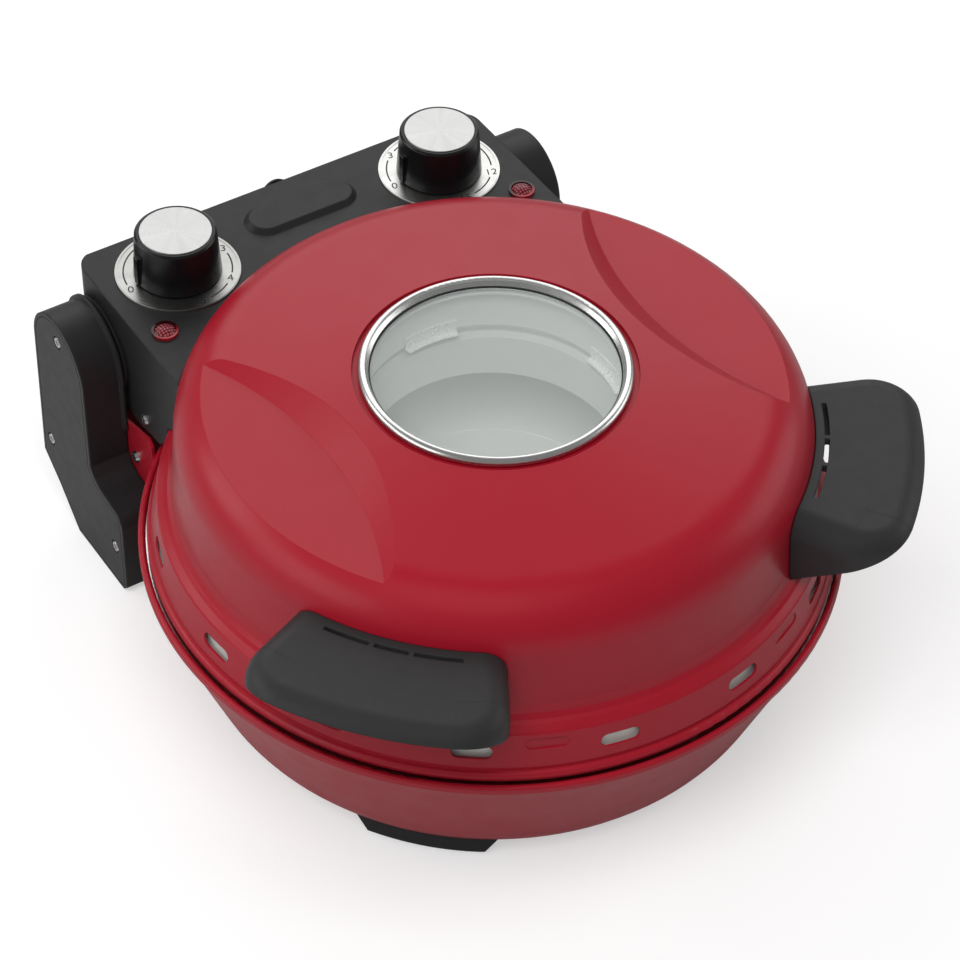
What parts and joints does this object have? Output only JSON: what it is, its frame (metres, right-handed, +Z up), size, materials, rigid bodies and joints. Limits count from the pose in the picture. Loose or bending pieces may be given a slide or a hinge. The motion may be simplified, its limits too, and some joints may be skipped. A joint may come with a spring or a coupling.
{
  "type": "electric pizza maker",
  "caption": "Round countertop pizza maker with a hinged domed lid, a glass window, side handles, a stone plate and a rear control box with rotary dials.",
  "frame": {"origin": "middle of the bounding box on the table plane, under the feet", "axes": "+Z up, -Y towards the front of the lid, +Y towards the control box, +X to the right of someone in front of it"},
  "size_m": [0.382, 0.4022, 0.1978],
  "materials": {
    "red_paint": "satin red paint",
    "pan_metal": "brushed",
    "stone": "matte, unglazed",
    "heater_sheath": "dull dark sheath",
    "sheet_steel": "plain",
    "foot_rubber": "matte",
    "screw_steel": "bright",
    "black_plastic": "fine grain",
    "knob_plastic": "satin",
    "dial_steel": "spun",
    "clear_glass": "clear",
    "switch_body": "plain",
    "terminal_ceramic": "plain",
    "lamp_lens": "red tinted lens"
  },
  "bodies": {
    "base": {"base_shell": "red_paint", "base_pan": "pan_metal", "pizza_stone": "stone", "lower_heater": "heater_sheath", "lower_heater_supports": "sheet_steel", "foot_front_left": "foot_rubber", "foot_front_right": "foot_rubber", "foot_rear_left": "foot_rubber", "foot_rear_right": "foot_rubber", "foot_screws": "screw_steel", "base_bracket": "red_paint", "bracket_screws": "screw_steel", "arm_left": "black_plastic", "arm_right": "black_plastic", "arm_cover_left": "black_plastic", "arm_cover_right": "black_plastic", "cover_screws_left": "screw_steel", "cover_screws_right": "screw_steel", "arm_screws": "screw_steel", "hinge_pin_left": "screw_steel", "hinge_pin_right": "screw_steel"},
    "lid": {"lid_shell": "red_paint", "lid_reflector": "pan_metal", "upper_heater": "heater_sheath", "upper_heater_supports": "sheet_steel", "window_sleeve": "pan_metal", "window_ring": "dial_steel", "window_gasket": "foot_rubber", "window_glass": "clear_glass", "inner_glass": "clear_glass", "glass_clips": "sheet_steel", "handle_left": "black_plastic", "handle_right": "black_plastic", "handle_screws": "screw_steel", "lid_bracket": "sheet_steel", "control_housing": "black_plastic", "control_cover": "black_plastic", "control_screws": "screw_steel", "box_screws": "screw_steel", "rear_bumper": "foot_rubber", "dial_plate_temp": "dial_steel", "dial_plate_timer": "dial_steel", "thermostat": "switch_body", "timer": "switch_body", "terminal_block": "terminal_ceramic", "lamp_ring_left": "red_paint", "lamp_ring_right": "red_paint", "lamp_left": "lamp_lens", "lamp_right": "lamp_lens"},
    "temp_control": {"temp_shaft": "screw_steel", "temp_knob": "knob_plastic", "temp_knob_cap": "dial_steel"},
    "timer_control": {"timer_shaft": "screw_steel", "timer_knob": "knob_plastic", "timer_knob_cap": "dial_steel"}
  },
  "joints": [
    {"name": "lid_hinge", "type": "hinge", "parent": "base", "child": "lid", "pos_m": [0, 0.1701, 0.122], "axis": [-1, 0, 0], "range_deg": [0, 100]},
    {"name": "temp_turn", "type": "hinge", "parent": "lid", "child": "temp_control", "pos_m": [-0.0805, 0.1606, 0.162], "axis": [0, 0, -1], "range_deg": [0, 274]},
    {"name": "timer_turn", "type": "hinge", "parent": "lid", "child": "timer_control", "pos_m": [0.0805, 0.1606, 0.162], "axis": [0, 0, -1], "range_deg": [0, 273.6]}
  ]
}
